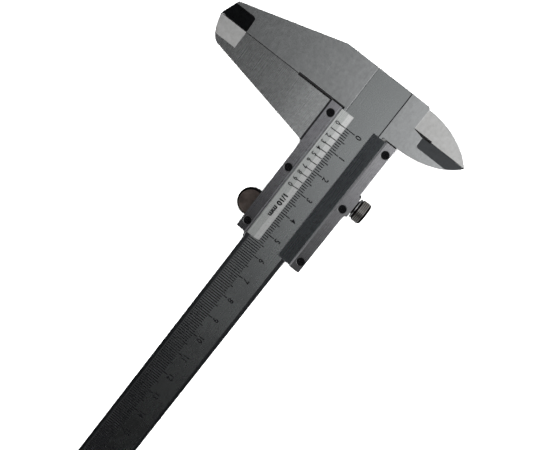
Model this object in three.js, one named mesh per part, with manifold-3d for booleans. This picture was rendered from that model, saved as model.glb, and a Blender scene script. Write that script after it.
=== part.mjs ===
// Vernier caliper, 200 mm range, lying on its back.
// Units are millimetres. +X runs along the beam, the way the slider opens. +Y points
// to the small inside-measuring blades. +Z points out of the face with the scale.
// While the pieces are drawn, x = 0 is the plane where the outside jaws meet, y = 0 is
// the middle of the beam and z = 0 is the back of the slider. The last lines move the
// whole caliper so that its origin is the middle of its bottom.
import * as THREE from "three";
import { mergeVertices } from "three/addons/utils/BufferGeometryUtils.js";
import Module from "manifold-3d";

// ---------------------------------------------------------------- driving dimensions

// Layers, from the back to the front
const BACK_PLATE_THICK = 2.3;
const BEAM_BACK_GAP = 0.3; // between the slider's back plate and the beam
const BEAM_THICK = 4;
const COVER_CLEARANCE = 0.1; // between the beam's rails and the plates over them
const LEAF_FLANGE_THICK = 0.6;
const SEAM = 0.05; // hairline between pieces that are screwed together
const STRIP_THICK = 1.45;

// Beam and the jaws in one piece with it
const BEAM_WIDTH = 18.44;
const MEASURING_RANGE = 200;
const BEAM_TAIL = 9; // beam left past the slider when it is fully open
const TAIL_CHAMFER = 1;
const RAIL_BESIDE_SCALE = 1.5; // raised rail on the outside-jaw side of the scale
const RAIL_BESIDE_NUMBERS = 1.2; // raised rail on the inside-blade side
const CHANNEL_DEPTH = 0.25;
const CHANNEL_SLOPE = 0.25; // the channel is this much narrower at its floor, on each side
const HEAD_WIDTH = 19.5; // from the contact plane to the outer edge of the head

// Outside jaws
const JAW_LINE = 0.08; // hairline between the closed measuring faces
const JAW_REACH = 66.8; // from the beam's middle to the jaw tips
const JAW_CONTACT_START = 30; // the measuring faces run from here to the tips
const JAW_RELIEF_FIXED = 0.55; // the fixed jaw's face steps back this far above them
const JAW_RELIEF_SLIDING = 0.45;
const UNDERCUT = 0.5; // grinding undercut into the corner of the beam
const FIXED_KNEE_Y = 22.1; // the fixed jaw begins to taper here
const FIXED_TIP_CORNER = [7.35, 3.3]; // width left at the tip, height of its chamfer
const SLIDING_ROOT_WIDTH = 19.05;
const SLIDING_TIP_WIDTH = 9.9;
const SLIDING_TIP_RISE = 6.3;
// The two points that bend the round tip, as shares of its width and of its rise
const SLIDING_TIP_CURVE = { bulge: [0.62, 0.24], shoulder: [0.97, 0.62] };
const JAW_ROOT_FILLET = 2;
const TIP_BEVEL_LENGTH = 12.2; // of the thinned tips
const TIP_BEVEL_WIDTH = [6.35, 7.15]; // on the fixed and on the sliding jaw
const TIP_BEVEL_DEPTH = 1.6; // taken off each side of a tip
const BEVEL_CORNER = 1; // the grinding wheel leaves the fixed jaws' bevels a round corner

// Inside blades: the fixed one is the front half of the thickness, the sliding one the back half
const BLADE_REACH = 40.3; // from the beam's middle to the blade tips
const BLADE_ROOT_Y = 16.4; // top edge of the head
const BLADE_WIDTH = 9.15; // from the measuring line to the back of a blade at its root
// The two points that bend a blade's back, as shares of its width and of its height
const BLADE_BACK_CURVE = { belly: [1, 0.42], bend: [0.6, 0.78] };
const BLADE_END_GAP = 0.35; // between the head and the slider's end
const BLADE_ARM_ROOT = 1.3; // the sliding blade's arm runs this far into the slider
const BLADE_LAYER_GAP = 0.2; // between the two layers
const BLADE_SLOT_TOP = 24.5;
const BLADE_SLOT_POINT = 16.8; // the slot narrows to a point here
const BLADE_SLOT_SIDES = [0.5, 0.35]; // cut into the sliding and into the fixed blade
const BLADE_BEVEL_START = 20.8;
const BLADE_BEVEL_WIDTH = 4.4;
const BLADE_EDGE_THICK = 0.35; // left at the measuring edge
const HEAD_CORNER = 0.6;

// Slider
const SLIDER_LENGTH = 59.5;
const WALL_WIDTH = 4.7; // the side walls and the cover strips screwed on them
const WALL_CLEARANCE = 0.1; // between the beam's lower edge and the wall
const GIB_SPACE = 1.98; // between the beam's upper edge and the wall, for the gib
const BACK_PLATE_SHORT = 0.9; // the back plate ends before the strips do
const STOP_HORN = { length: 2.3, endThick: 0.4, curveStart: 0.5 }; // runs on along the beam
const LEAF_WIDTH = 5.7; // sloping part of the two plates beside the scale
const LEAF_INSETS = [0.4, 0.2]; // the plates' ends inside the strips' ends
const LEAF_EDGE_THICK = 0.25;
const LEAF_DROP = 0.5; // top of a plate below the top of its strip
const VERNIER_BEVEL = { width: 2.3, fall: 0.3 }; // steeper part; fall of the flatter part
const STRIP_CHAMFER = 0.6;
const STRIP_CORNER = 0.3;
const GIB_THICK = 1.15;
const GIB_GAP = 0.3; // to the beam and to the end walls
const GIB_SIDE_GAP = 0.1;

// Screws through the strips
const STRIP_SCREW_MARGIN = 4.1; // from the slider's ends
const STRIP_SCREWS_PER_SIDE = 3;
const UPPER_SCREW_SHIFT = 0.4; // the upper screws sit this far outside the strip's middle
const STRIP_SCREW_HEAD = { r: 1.55, height: 0.95, recess: 0.05 };
const STRIP_SCREW_SHANK = { r: 0.7, end: 3.7 };
const CROSS_RECESS = { length: 1.7, width: 0.42, depth: 0.5 };
const SCREW_CLEARANCE = 0.1;

// Locking screw in the upper wall, and the two screws that set the gib
const LOCK_X = 26.9;
const LOCK_HEAD_GAP = 0.2; // between the boss and the head
const LOCK_HEAD_LENGTH = 5.3;
const LOCK_HEAD_R = 4.5;
const LOCK_SHANK = { r: 1.4, tip: 0.4 };
// Below the knurled head, measured from the head's underside
const LOCK_NECK = { r: 2.9, end: 0.25 };
const LOCK_COLLAR = { r: 4.1, start: 0.5, end: 0.95 };
const LOCK_GROOVE = { r: 3.8, start: 1.05, end: 1.25 };
const LOCK_KNURL_START = 1.4;
const LOCK_CROWN = { rounding: 0.7, rise: 0.2 };
const LOCK_BOSS = { width: 8.4, rise: 1.1, flare: 1.5 };
const GIB_SCREW_R = 1;
const GIB_SCREW_MARGIN = 12;
const GIB_SCREW_SUNK = 0.5;
const GIB_SLOT = { depth: 0.6, width: 0.3 };
const SCREW_END_GAP = 0.2; // from the screws' ends to the gib

// Thumb wheel that rolls on the beam's lower edge
const WHEEL_R = 5.6;
const WHEEL_SCREW_OFFSET = 0.2; // along the beam, from the rim to the last strip screw
const WHEEL_ROLL_GAP = 0.13;
const WHEEL_CHAMFER = 0.5;
const WHEEL_SIDE_GAP = 0.3;
const WHEEL_POCKET_CLEARANCE = 0.25;
const WHEEL_WEB = 0.7; // the bore in the wheel is blind
const AXLE_R = 1.1;
const AXLE_CLEARANCE = 0.1;
const AXLE_LUG_R = 3.6;
const AXLE_SUNK = 0.2;

// Depth rod in the back of the beam
const ROD_WIDTH = 3.6;
const ROD_THICK = 1.4;
const ROD_SIDE_CLEARANCE = 0.3;
const ROD_START_X = 24;
const ROD_TIP_RELIEF = [4, 1.2]; // notch at the probing end: length and width
const ROD_PIN = { x: 28, r: 0.9, headR: 1.7, headHeight: 0.8, sunk: 0.2 };

// Stop plate under the tail of the beam
const STOP_PLATE = { length: 7, width: 14.4, thick: 1.2, inset: 0.5 };
const STOP_SCREW_SPACING = 10.4;
const STOP_SCREW = { r: 0.8, headR: 1.5, headHeight: 0.7, length: 3, sunk: 0.1 };

const ROUND = 28; // sides of the small round pieces
const HEAD_ROUND = 48; // sides of the locking screw
const WHEEL_ROUND = 64; // sides of the thumb wheel and of its pocket
const CURVE_STEPS = 14;
const SLACK = 1; // how far cutting tools run past what they cut

// --------------------------------------------------------------- derived dimensions

const beamBack = BACK_PLATE_THICK + BEAM_BACK_GAP;
const beamFront = beamBack + BEAM_THICK;
const beamMiddle = (beamBack + beamFront) / 2;
const leafBottom = beamFront + COVER_CLEARANCE;
const flangeTop = leafBottom + LEAF_FLANGE_THICK;
const stripBottom = flangeTop + SEAM;
const stripTop = stripBottom + STRIP_THICK;
const leafTop = stripTop - LEAF_DROP;
const scaleFloor = beamFront - CHANNEL_DEPTH;

const halfBeam = BEAM_WIDTH / 2;
const beamEndX = SLIDER_LENGTH + MEASURING_RANGE + BEAM_TAIL;
const headX = -HEAD_WIDTH;
const faceGap = JAW_LINE / 2;
const channelLow = -halfBeam + RAIL_BESIDE_SCALE;
const channelHigh = halfBeam - RAIL_BESIDE_NUMBERS;

const lowerWallInner = -halfBeam - WALL_CLEARANCE;
const lowerWallOuter = lowerWallInner - WALL_WIDTH;
const upperWallInner = halfBeam + GIB_SPACE;
const upperWallOuter = upperWallInner + WALL_WIDTH;
const lowerScrewY = (lowerWallInner + lowerWallOuter) / 2;
const upperScrewY = (upperWallInner + upperWallOuter) / 2 + UPPER_SCREW_SHIFT;
const bladeLineX = -BLADE_END_GAP - BLADE_WIDTH;

const gibInnerY = halfBeam + GIB_GAP;
const gibOuterY = gibInnerY + GIB_THICK;
const bossTopY = upperWallOuter + LOCK_BOSS.rise;

const lastScrewX = SLIDER_LENGTH - STRIP_SCREW_MARGIN;
const wheelX = lastScrewX - WHEEL_SCREW_OFFSET - WHEEL_R;
const wheelY = -halfBeam - WHEEL_ROLL_GAP - WHEEL_R;
const wheelLow = BACK_PLATE_THICK + WHEEL_SIDE_GAP;
const wheelHigh = beamFront - WHEEL_SIDE_GAP;

const rodLow = beamBack + SEAM;
const rodHigh = rodLow + ROD_THICK;
const stopPlateHigh = beamBack - SEAM;
const stopPlateLow = stopPlateHigh - STOP_PLATE.thick;

// ------------------------------------------------------------------------- materials

const steel = (color, roughness) =>
  new THREE.MeshStandardMaterial({ color, roughness, metalness: 1 });
const groundSteel = steel(0x8b8d8e, 0.42);
const coverSteel = steel(0x77777b, 0.38);
const leafSteel = steel(0xc4c7c4, 0.3);
const blackSteel = steel(0x15161a, 0.5);
const nickel = steel(0x8a8078, 0.3);
const springSteel = steel(0x6d6f72, 0.4);
const brass = steel(0xb08d4a, 0.4);

// --------------------------------------------------------------------------- helpers

const wasm = await Module();
wasm.setup();

// A geometry as a manifold solid, with shared corners merged and flat triangles dropped.
function solidOf(geometry) {
  const bare = geometry.clone();
  bare.deleteAttribute("normal");
  bare.deleteAttribute("uv");
  const merged = mergeVertices(bare, 1e-4);
  const corners = merged.index.array;
  const kept = [];
  for (let i = 0; i < corners.length; i += 3) {
    const [a, b, c] = corners.slice(i, i + 3);
    if (a !== b && b !== c && c !== a) kept.push(a, b, c);
  }
  const vertProperties = merged.attributes.position.array;
  const triVerts = new Uint32Array(kept);
  return new wasm.Manifold(new wasm.Mesh({ numProp: 3, vertProperties, triVerts }));
}

// A manifold solid as a geometry again.
function geometryOf(solid) {
  const { vertProperties, triVerts } = solid.getMesh();
  const shared = new THREE.BufferGeometry();
  shared.setAttribute("position", new THREE.BufferAttribute(vertProperties, 3));
  shared.setIndex(new THREE.BufferAttribute(triVerts, 1));
  const faceted = shared.toNonIndexed();
  faceted.computeVertexNormals();
  return faceted;
}

const caliper = new THREE.Group();

function addPiece(name, solid, material) {
  const mesh = new THREE.Mesh(geometryOf(solid), material);
  mesh.name = name;
  caliper.add(mesh);
}

function outline(points) {
  return new THREE.Shape(points.map(([x, y]) => new THREE.Vector2(x, y)));
}

// A shape drawn in x and y, as a plate from one height to another.
function plate(shape, low, high, curveSegments = CURVE_STEPS) {
  const options = { depth: high - low, bevelEnabled: false, curveSegments };
  return solidOf(new THREE.ExtrudeGeometry(shape, options).translate(0, 0, low));
}

function box(x0, x1, y0, y1, z0, z1) {
  const geometry = new THREE.BoxGeometry(x1 - x0, y1 - y0, z1 - z0);
  return solidOf(geometry.translate((x0 + x1) / 2, (y0 + y1) / 2, (z0 + z1) / 2));
}

// A cross-section drawn in y and z, drawn out along x.
function barAlongX(points, x0, x1) {
  const options = { depth: x1 - x0, bevelEnabled: false };
  const geometry = new THREE.ExtrudeGeometry(outline(points), options);
  const turn = new THREE.Matrix4().makeBasis(
    new THREE.Vector3(0, 1, 0),
    new THREE.Vector3(0, 0, 1),
    new THREE.Vector3(1, 0, 0),
  );
  return solidOf(geometry.applyMatrix4(turn).translate(x0, 0, 0));
}

// A cross-section drawn in x and z, drawn out along y.
function barAlongY(points, y0, y1) {
  const options = { depth: y1 - y0, bevelEnabled: false };
  const swapped = points.map(([x, z]) => [z, x]);
  const geometry = new THREE.ExtrudeGeometry(outline(swapped), options);
  const turn = new THREE.Matrix4().makeBasis(
    new THREE.Vector3(0, 0, 1),
    new THREE.Vector3(1, 0, 0),
    new THREE.Vector3(0, 1, 0),
  );
  return solidOf(geometry.applyMatrix4(turn).translate(0, y0, 0));
}

function pinAlongZ(x, y, r, z0, z1, sides = ROUND) {
  const geometry = new THREE.CylinderGeometry(r, r, z1 - z0, sides);
  return solidOf(geometry.rotateX(Math.PI / 2).translate(x, y, (z0 + z1) / 2));
}

function pinAlongY(x, z, r, y0, y1, sides = ROUND) {
  const geometry = new THREE.CylinderGeometry(r, r, y1 - y0, sides);
  return solidOf(geometry.translate(x, (y0 + y1) / 2, z));
}

// A profile of [radius, height] points turned about +Y.
function turned(profile, sides) {
  const points = profile.map(([r, h]) => new THREE.Vector2(r, h));
  return new THREE.LatheGeometry(points, sides);
}

// ------------------------------------------------------------ beam with the fixed jaws

// The curved back of an inside blade, from its root to its tip. side is +1 for the
// fixed blade, whose back faces the slider, and -1 for the sliding blade.
function bladeBack(shape, side, tipX) {
  const [belly, bend] = [BLADE_BACK_CURVE.belly, BLADE_BACK_CURVE.bend].map(([across, up]) => ({
    x: tipX + side * BLADE_WIDTH * across,
    y: BLADE_ROOT_Y + (BLADE_REACH - BLADE_ROOT_Y) * up,
  }));
  shape.lineTo(tipX + side * BLADE_WIDTH, BLADE_ROOT_Y);
  shape.bezierCurveTo(belly.x, belly.y, bend.x, bend.y, tipX, BLADE_REACH);
}

// Wedge that thins a measuring edge: from nothing at x0 to depth at x1, on the front face
// (side +1) or on the back face (side -1) of the layer that ends at z.
function bevelWedge(x0, x1, depth, z, side, y0, y1) {
  const past = x1 + Math.sign(x1 - x0) * SLACK;
  const deepAtPast = (depth * (past - x0)) / (x1 - x0);
  const points = [
    [x0, z],
    [past, z - side * deepAtPast],
    [past, z + side * SLACK],
    [x0, z + side * SLACK],
  ];
  const turnsLeft = Math.sign(x1 - x0) * side > 0;
  return barAlongY(turnsLeft ? points : points.reverse(), y0, y1);
}

// What a round corner leaves standing of a bevel whose corner is at x and y. The bevel
// lies towards towardX and towardY, both +1 or -1, in the face at z.
function cornerLeft(x, y, towardX, towardY, z) {
  const corner = new THREE.Shape();
  corner.moveTo(x, y);
  corner.lineTo(x + towardX * BEVEL_CORNER, y);
  corner.quadraticCurveTo(x, y, x, y + towardY * BEVEL_CORNER);
  return plate(corner, z - SLACK, z + SLACK);
}

function thinnedTip(x0, x1) {
  const y0 = -JAW_REACH - SLACK;
  const y1 = -JAW_REACH + TIP_BEVEL_LENGTH;
  const front = bevelWedge(x0, x1, TIP_BEVEL_DEPTH, beamFront, 1, y0, y1);
  const back = bevelWedge(x0, x1, TIP_BEVEL_DEPTH, beamBack, -1, y0, y1);
  return front.add(back);
}

function thinnedFixedTip() {
  const x = -TIP_BEVEL_WIDTH[0];
  const y = -JAW_REACH + TIP_BEVEL_LENGTH;
  return thinnedTip(x, -faceGap)
    .subtract(cornerLeft(x, y, 1, -1, beamFront))
    .subtract(cornerLeft(x, y, 1, -1, beamBack));
}

function beamWithFixedJaws() {
  const [tipWidth, tipChamfer] = FIXED_TIP_CORNER;
  const body = plate(
    outline([
      [headX, halfBeam],
      [headX, -FIXED_KNEE_Y],
      [-tipWidth, -JAW_REACH + tipChamfer],
      [-faceGap, -JAW_REACH],
      [-faceGap, -JAW_CONTACT_START],
      [-JAW_RELIEF_FIXED, -JAW_CONTACT_START],
      [-JAW_RELIEF_FIXED, -halfBeam + UNDERCUT],
      [JAW_RELIEF_SLIDING, -halfBeam + UNDERCUT],
      [JAW_RELIEF_SLIDING, -halfBeam],
      [beamEndX - TAIL_CHAMFER, -halfBeam],
      [beamEndX, -halfBeam + TAIL_CHAMFER],
      [beamEndX, halfBeam - TAIL_CHAMFER],
      [beamEndX - TAIL_CHAMFER, halfBeam],
    ]),
    beamBack,
    beamFront,
  );

  const tipX = bladeLineX;
  const slotX = bladeLineX + BLADE_SLOT_SIDES[1];
  const blade = new THREE.Shape();
  blade.moveTo(headX, halfBeam - SLACK);
  blade.lineTo(tipX + BLADE_WIDTH, halfBeam - SLACK);
  bladeBack(blade, 1, tipX);
  blade.lineTo(tipX, BLADE_SLOT_TOP);
  blade.lineTo(slotX, BLADE_SLOT_TOP);
  blade.lineTo(slotX, BLADE_BEVEL_START);
  blade.lineTo(bladeLineX - BLADE_SLOT_SIDES[0], BLADE_SLOT_POINT);
  blade.lineTo(bladeLineX - BLADE_SLOT_SIDES[0], BLADE_ROOT_Y);
  blade.lineTo(headX + HEAD_CORNER, BLADE_ROOT_Y);
  blade.lineTo(headX, BLADE_ROOT_Y - HEAD_CORNER);
  const bladeLow = beamMiddle + BLADE_LAYER_GAP / 2;
  const bevelX = tipX + BLADE_BEVEL_WIDTH;
  const bladeBevel = bevelWedge(
    bevelX,
    tipX,
    beamFront - bladeLow - BLADE_EDGE_THICK,
    beamFront,
    1,
    BLADE_BEVEL_START,
    BLADE_REACH + SLACK,
  );
  const roundBevel = bladeBevel.subtract(cornerLeft(bevelX, BLADE_BEVEL_START, -1, 1, beamFront));
  const frontBlade = plate(blade, bladeLow, beamFront).subtract(roundBevel);

  const flare = (CHANNEL_SLOPE * SLACK) / CHANNEL_DEPTH;
  const channel = barAlongX(
    [
      [channelLow + CHANNEL_SLOPE, scaleFloor],
      [channelHigh - CHANNEL_SLOPE, scaleFloor],
      [channelHigh + flare, beamFront + SLACK],
      [channelLow - flare, beamFront + SLACK],
    ],
    headX - SLACK,
    beamEndX + SLACK,
  );
  const groove = box(
    ROD_START_X - ROD_SIDE_CLEARANCE,
    beamEndX + SLACK,
    -ROD_WIDTH / 2 - ROD_SIDE_CLEARANCE,
    ROD_WIDTH / 2 + ROD_SIDE_CLEARANCE,
    beamBack - SLACK,
    rodHigh + ROD_SIDE_CLEARANCE,
  );
  let beam = body
    .subtract(thinnedFixedTip())
    .subtract(channel)
    .subtract(groove)
    .add(frontBlade);
  for (const { x, y } of stopScrewPlaces()) {
    const depth = stopPlateLow + STOP_SCREW.length + 2 * SCREW_CLEARANCE;
    const hole = pinAlongZ(x, y, STOP_SCREW.r + SCREW_CLEARANCE, beamBack - SLACK, depth);
    beam = beam.subtract(hole);
  }
  addPiece("beam_with_fixed_jaws", beam, groundSteel);
}

// ------------------------------------------------------------- stop plate at the tail

function stopScrewPlaces() {
  const x = beamEndX - STOP_PLATE.inset - STOP_PLATE.length / 2;
  return [-1, 1].map((side) => ({ x, y: (side * STOP_SCREW_SPACING) / 2 }));
}

function stopPlate() {
  const x1 = beamEndX - STOP_PLATE.inset;
  const half = STOP_PLATE.width / 2;
  let blank = box(x1 - STOP_PLATE.length, x1, -half, half, stopPlateLow, stopPlateHigh);
  const headSeat = stopPlateLow + STOP_SCREW.headHeight + STOP_SCREW.sunk + SEAM;
  stopScrewPlaces().forEach(({ x, y }, i) => {
    const headR = STOP_SCREW.headR + SCREW_CLEARANCE;
    const shankR = STOP_SCREW.r + SCREW_CLEARANCE;
    blank = blank
      .subtract(pinAlongZ(x, y, headR, stopPlateLow - SLACK, headSeat))
      .subtract(pinAlongZ(x, y, shankR, stopPlateLow - SLACK, stopPlateHigh + SLACK));
    const headLow = stopPlateLow + STOP_SCREW.sunk;
    const headHigh = headLow + STOP_SCREW.headHeight;
    const head = pinAlongZ(x, y, STOP_SCREW.headR, headLow, headHigh);
    const shank = pinAlongZ(x, y, STOP_SCREW.r, headLow, stopPlateLow + STOP_SCREW.length);
    addPiece(`stop_screw_${i + 1}`, head.add(shank), blackSteel);
  });
  addPiece("stop_plate", blank, springSteel);
}

// ----------------------------------------------------------- slider body with its jaws

function slidingJawShape() {
  const rootY = lowerWallOuter;
  const tipY = -JAW_REACH + SLIDING_TIP_RISE;
  const slope = (SLIDING_ROOT_WIDTH - SLIDING_TIP_WIDTH) / (rootY - tipY);
  const filletX = SLIDING_ROOT_WIDTH - slope * JAW_ROOT_FILLET;
  const jaw = new THREE.Shape();
  jaw.moveTo(faceGap, -JAW_CONTACT_START);
  jaw.lineTo(faceGap, -JAW_REACH);
  const { bulge, shoulder } = SLIDING_TIP_CURVE;
  jaw.bezierCurveTo(
    SLIDING_TIP_WIDTH * bulge[0],
    -JAW_REACH + SLIDING_TIP_RISE * bulge[1],
    SLIDING_TIP_WIDTH * shoulder[0],
    -JAW_REACH + SLIDING_TIP_RISE * shoulder[1],
    SLIDING_TIP_WIDTH,
    tipY,
  );
  jaw.lineTo(filletX, rootY - JAW_ROOT_FILLET);
  jaw.quadraticCurveTo(SLIDING_ROOT_WIDTH, rootY, SLIDING_ROOT_WIDTH + JAW_ROOT_FILLET, rootY);
  jaw.lineTo(SLIDING_ROOT_WIDTH + JAW_ROOT_FILLET, lowerWallInner);
  jaw.lineTo(JAW_RELIEF_SLIDING, lowerWallInner);
  jaw.lineTo(JAW_RELIEF_SLIDING, -JAW_CONTACT_START);
  return jaw;
}

// The lower wall runs out to a thin horn along the beam.
function lowerWallShape() {
  const hornX = SLIDER_LENGTH + STOP_HORN.length;
  const hornY = lowerWallInner - STOP_HORN.endThick;
  const wall = new THREE.Shape();
  wall.moveTo(JAW_RELIEF_SLIDING, lowerWallOuter);
  wall.lineTo(SLIDER_LENGTH - STOP_HORN.curveStart, lowerWallOuter);
  wall.quadraticCurveTo(SLIDER_LENGTH, hornY, hornX, hornY);
  wall.lineTo(hornX, lowerWallInner);
  wall.lineTo(JAW_RELIEF_SLIDING, lowerWallInner);
  return wall;
}

// Upper edge of the slider: straight, with a flared boss round the locking screw.
function upperEdge(shape, fromX, toX) {
  const half = LOCK_BOSS.width / 2;
  const flare = LOCK_BOSS.flare;
  const right = LOCK_X + half;
  const left = LOCK_X - half;
  shape.lineTo(fromX, upperWallOuter);
  shape.lineTo(right + flare, upperWallOuter);
  shape.quadraticCurveTo(right, upperWallOuter, right, bossTopY);
  shape.lineTo(left, bossTopY);
  shape.quadraticCurveTo(left, upperWallOuter, left - flare, upperWallOuter);
  shape.lineTo(toX, upperWallOuter);
}

function slidingBladeShape() {
  const tipX = bladeLineX;
  const backX = tipX - BLADE_WIDTH;
  const slotX = bladeLineX - BLADE_SLOT_SIDES[0];
  const armLow = halfBeam + GIB_GAP;
  const armTop = upperWallOuter;
  const blade = new THREE.Shape();
  blade.moveTo(backX, armLow);
  bladeBack(blade, -1, tipX);
  blade.lineTo(tipX, BLADE_SLOT_TOP);
  blade.lineTo(slotX, BLADE_SLOT_TOP);
  blade.lineTo(slotX, armTop);
  blade.lineTo(BLADE_ARM_ROOT, armTop);
  blade.lineTo(BLADE_ARM_ROOT, armLow);
  return blade;
}

function slidingBlade() {
  const tipX = bladeLineX;
  const bladeHigh = beamMiddle - BLADE_LAYER_GAP / 2;
  const bevel = bevelWedge(
    tipX - BLADE_BEVEL_WIDTH,
    tipX,
    bladeHigh - beamBack - BLADE_EDGE_THICK,
    beamBack,
    -1,
    BLADE_BEVEL_START,
    BLADE_REACH + SLACK,
  );
  return plate(slidingBladeShape(), beamBack, bladeHigh).subtract(bevel);
}

function sliderBody() {
  const backEndX = SLIDER_LENGTH - BACK_PLATE_SHORT;
  const back = new THREE.Shape();
  back.moveTo(0, lowerWallOuter);
  back.lineTo(backEndX, lowerWallOuter);
  upperEdge(back, backEndX, 0);
  const upperWall = new THREE.Shape();
  upperWall.moveTo(0, upperWallInner);
  upperWall.lineTo(backEndX, upperWallInner);
  upperEdge(upperWall, backEndX, 0);

  const rooted = BACK_PLATE_THICK / 2; // the walls start inside the back plate
  const jaw = plate(slidingJawShape(), beamBack, beamFront).subtract(
    thinnedTip(TIP_BEVEL_WIDTH[1], faceGap),
  );
  const pocketR = WHEEL_R + WHEEL_POCKET_CLEARANCE;
  const pocket = pinAlongZ(wheelX, wheelY, pocketR, BACK_PLATE_THICK, beamFront + SLACK, WHEEL_ROUND);
  const lowerWall = plate(lowerWallShape(), beamBack, beamFront)
    .add(box(JAW_RELIEF_SLIDING, backEndX, lowerWallOuter, lowerWallInner, rooted, beamBack))
    .subtract(pocket);
  const lug = pinAlongZ(wheelX, wheelY, AXLE_LUG_R, 0, BACK_PLATE_THICK, WHEEL_ROUND);

  let body = plate(back, 0, BACK_PLATE_THICK)
    .add(lug)
    .add(lowerWall)
    .add(jaw)
    .add(plate(upperWall, rooted, beamFront))
    .add(slidingBlade());
  for (const { x, y } of stripScrewPlaces()) {
    const low = STRIP_SCREW_SHANK.end - SCREW_CLEARANCE;
    const hole = STRIP_SCREW_SHANK.r + SCREW_CLEARANCE;
    body = body.subtract(pinAlongZ(x, y, hole, low, beamFront + SLACK));
  }
  for (const { x, r } of wallScrews()) {
    const hole = r + SCREW_CLEARANCE;
    body = body.subtract(pinAlongY(x, beamMiddle, hole, upperWallInner - SLACK, bossTopY + SLACK));
  }
  const axleHole = AXLE_R + AXLE_CLEARANCE;
  const pinHole = ROD_PIN.r + SCREW_CLEARANCE;
  const pinHead = ROD_PIN.headR + SCREW_CLEARANCE;
  const pinSeat = ROD_PIN.sunk + ROD_PIN.headHeight + SEAM;
  body = body
    .subtract(pinAlongZ(wheelX, wheelY, axleHole, -SLACK, BACK_PLATE_THICK + SLACK))
    .subtract(pinAlongZ(ROD_PIN.x, 0, pinHole, -SLACK, BACK_PLATE_THICK + SLACK))
    .subtract(pinAlongZ(ROD_PIN.x, 0, pinHead, -SLACK, pinSeat));
  addPiece("slider_body_with_jaws", body, groundSteel);
}

// ------------------------------------------- plates beside the scale and cover strips

// Cross-section of a sloping plate: thin beside the scale, thick at the wall, with a
// flange that lies on the wall under the cover strip. side is -1 for the lower one.
// crease lists where the slope bends, if it does.
function leafProfile(side, wallInner, wallOuter, crease) {
  const edge = wallInner - side * LEAF_WIDTH;
  const step = wallInner - side * SEAM;
  const points = [
    [edge, leafBottom],
    [wallOuter, leafBottom],
    [wallOuter, flangeTop],
    [step, flangeTop],
    [step, leafTop],
    ...crease,
    [edge, leafBottom + LEAF_EDGE_THICK],
  ];
  return side > 0 ? points : points.reverse();
}

function stripScrewPlaces() {
  const pitch = (lastScrewX - STRIP_SCREW_MARGIN) / (STRIP_SCREWS_PER_SIDE - 1);
  const places = [];
  for (const [side, y] of [["lower", lowerScrewY], ["upper", upperScrewY]]) {
    for (let i = 0; i < STRIP_SCREWS_PER_SIDE; i++) {
      places.push({ name: `${side}_strip_screw_${i + 1}`, x: STRIP_SCREW_MARGIN + i * pitch, y });
    }
  }
  return places;
}

function screwHoles(low, high, r) {
  return stripScrewPlaces()
    .map(({ x, y }) => pinAlongZ(x, y, r + SCREW_CLEARANCE, low, high))
    .reduce((all, hole) => all.add(hole));
}

function leaves() {
  const holes = screwHoles(leafBottom - SLACK, stripTop + SLACK, STRIP_SCREW_SHANK.r);
  const x0 = LEAF_INSETS[0];
  const x1 = SLIDER_LENGTH - LEAF_INSETS[1];
  const creaseY = lowerWallInner + LEAF_WIDTH - VERNIER_BEVEL.width;
  const crease = [[creaseY, leafTop - VERNIER_BEVEL.fall]];
  const lower = barAlongX(leafProfile(-1, lowerWallInner, lowerWallOuter, crease), x0, x1);
  const upper = barAlongX(leafProfile(1, upperWallInner, upperWallOuter, []), x0, x1);
  addPiece("vernier_plate", lower.subtract(holes), leafSteel);
  addPiece("upper_bevel_plate", upper.subtract(holes), coverSteel);
}

function coverStrips() {
  const headSeat = stripTop - STRIP_SCREW_HEAD.recess - STRIP_SCREW_HEAD.height - SEAM;
  const holes = screwHoles(stripBottom - SLACK, stripTop + SLACK, STRIP_SCREW_SHANK.r).add(
    screwHoles(headSeat, stripTop + SLACK, STRIP_SCREW_HEAD.r),
  );
  const lower = new THREE.Shape();
  lower.moveTo(0, lowerWallOuter);
  lower.lineTo(SLIDER_LENGTH - STRIP_CORNER, lowerWallOuter);
  lower.lineTo(SLIDER_LENGTH, lowerWallOuter + STRIP_CORNER);
  lower.lineTo(SLIDER_LENGTH, lowerWallInner);
  lower.lineTo(0, lowerWallInner);
  const upper = new THREE.Shape();
  upper.moveTo(0, upperWallInner);
  upper.lineTo(SLIDER_LENGTH, upperWallInner);
  upperEdge(upper, SLIDER_LENGTH, 0);
  const places = [
    { name: "lower_front_strip", shape: lower, edge: lowerWallInner, side: -1 },
    { name: "upper_front_strip", shape: upper, edge: upperWallInner, side: 1 },
  ];
  for (const { name, shape, edge, side } of places) {
    const bevel = [
      [edge - side * SLACK, stripTop + SLACK],
      [edge - side * SLACK, stripTop - STRIP_CHAMFER - SLACK],
      [edge + side * (STRIP_CHAMFER + SLACK), stripTop + SLACK],
    ];
    const chamfer = barAlongX(side > 0 ? bevel : bevel.reverse(), -SLACK, SLIDER_LENGTH + SLACK);
    const strip = plate(shape, stripBottom, stripTop).subtract(holes).subtract(chamfer);
    addPiece(name, strip, coverSteel);
  }
}

function stripScrews() {
  const headHigh = stripTop - STRIP_SCREW_HEAD.recess;
  const headLow = headHigh - STRIP_SCREW_HEAD.height;
  const half = CROSS_RECESS.length / 2;
  const thin = CROSS_RECESS.width / 2;
  for (const { name, x, y } of stripScrewPlaces()) {
    const floor = headHigh - CROSS_RECESS.depth;
    const cross = box(x - half, x + half, y - thin, y + thin, floor, headHigh + SLACK).add(
      box(x - thin, x + thin, y - half, y + half, floor, headHigh + SLACK),
    );
    const head = pinAlongZ(x, y, STRIP_SCREW_HEAD.r, headLow, headHigh);
    const shank = pinAlongZ(x, y, STRIP_SCREW_SHANK.r, STRIP_SCREW_SHANK.end, headHigh);
    addPiece(name, head.add(shank).subtract(cross), blackSteel);
  }
}

// -------------------------------------------------- gib, its two screws, locking screw

function gibScrewXs() {
  return [GIB_SCREW_MARGIN, SLIDER_LENGTH - GIB_SCREW_MARGIN];
}

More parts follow.
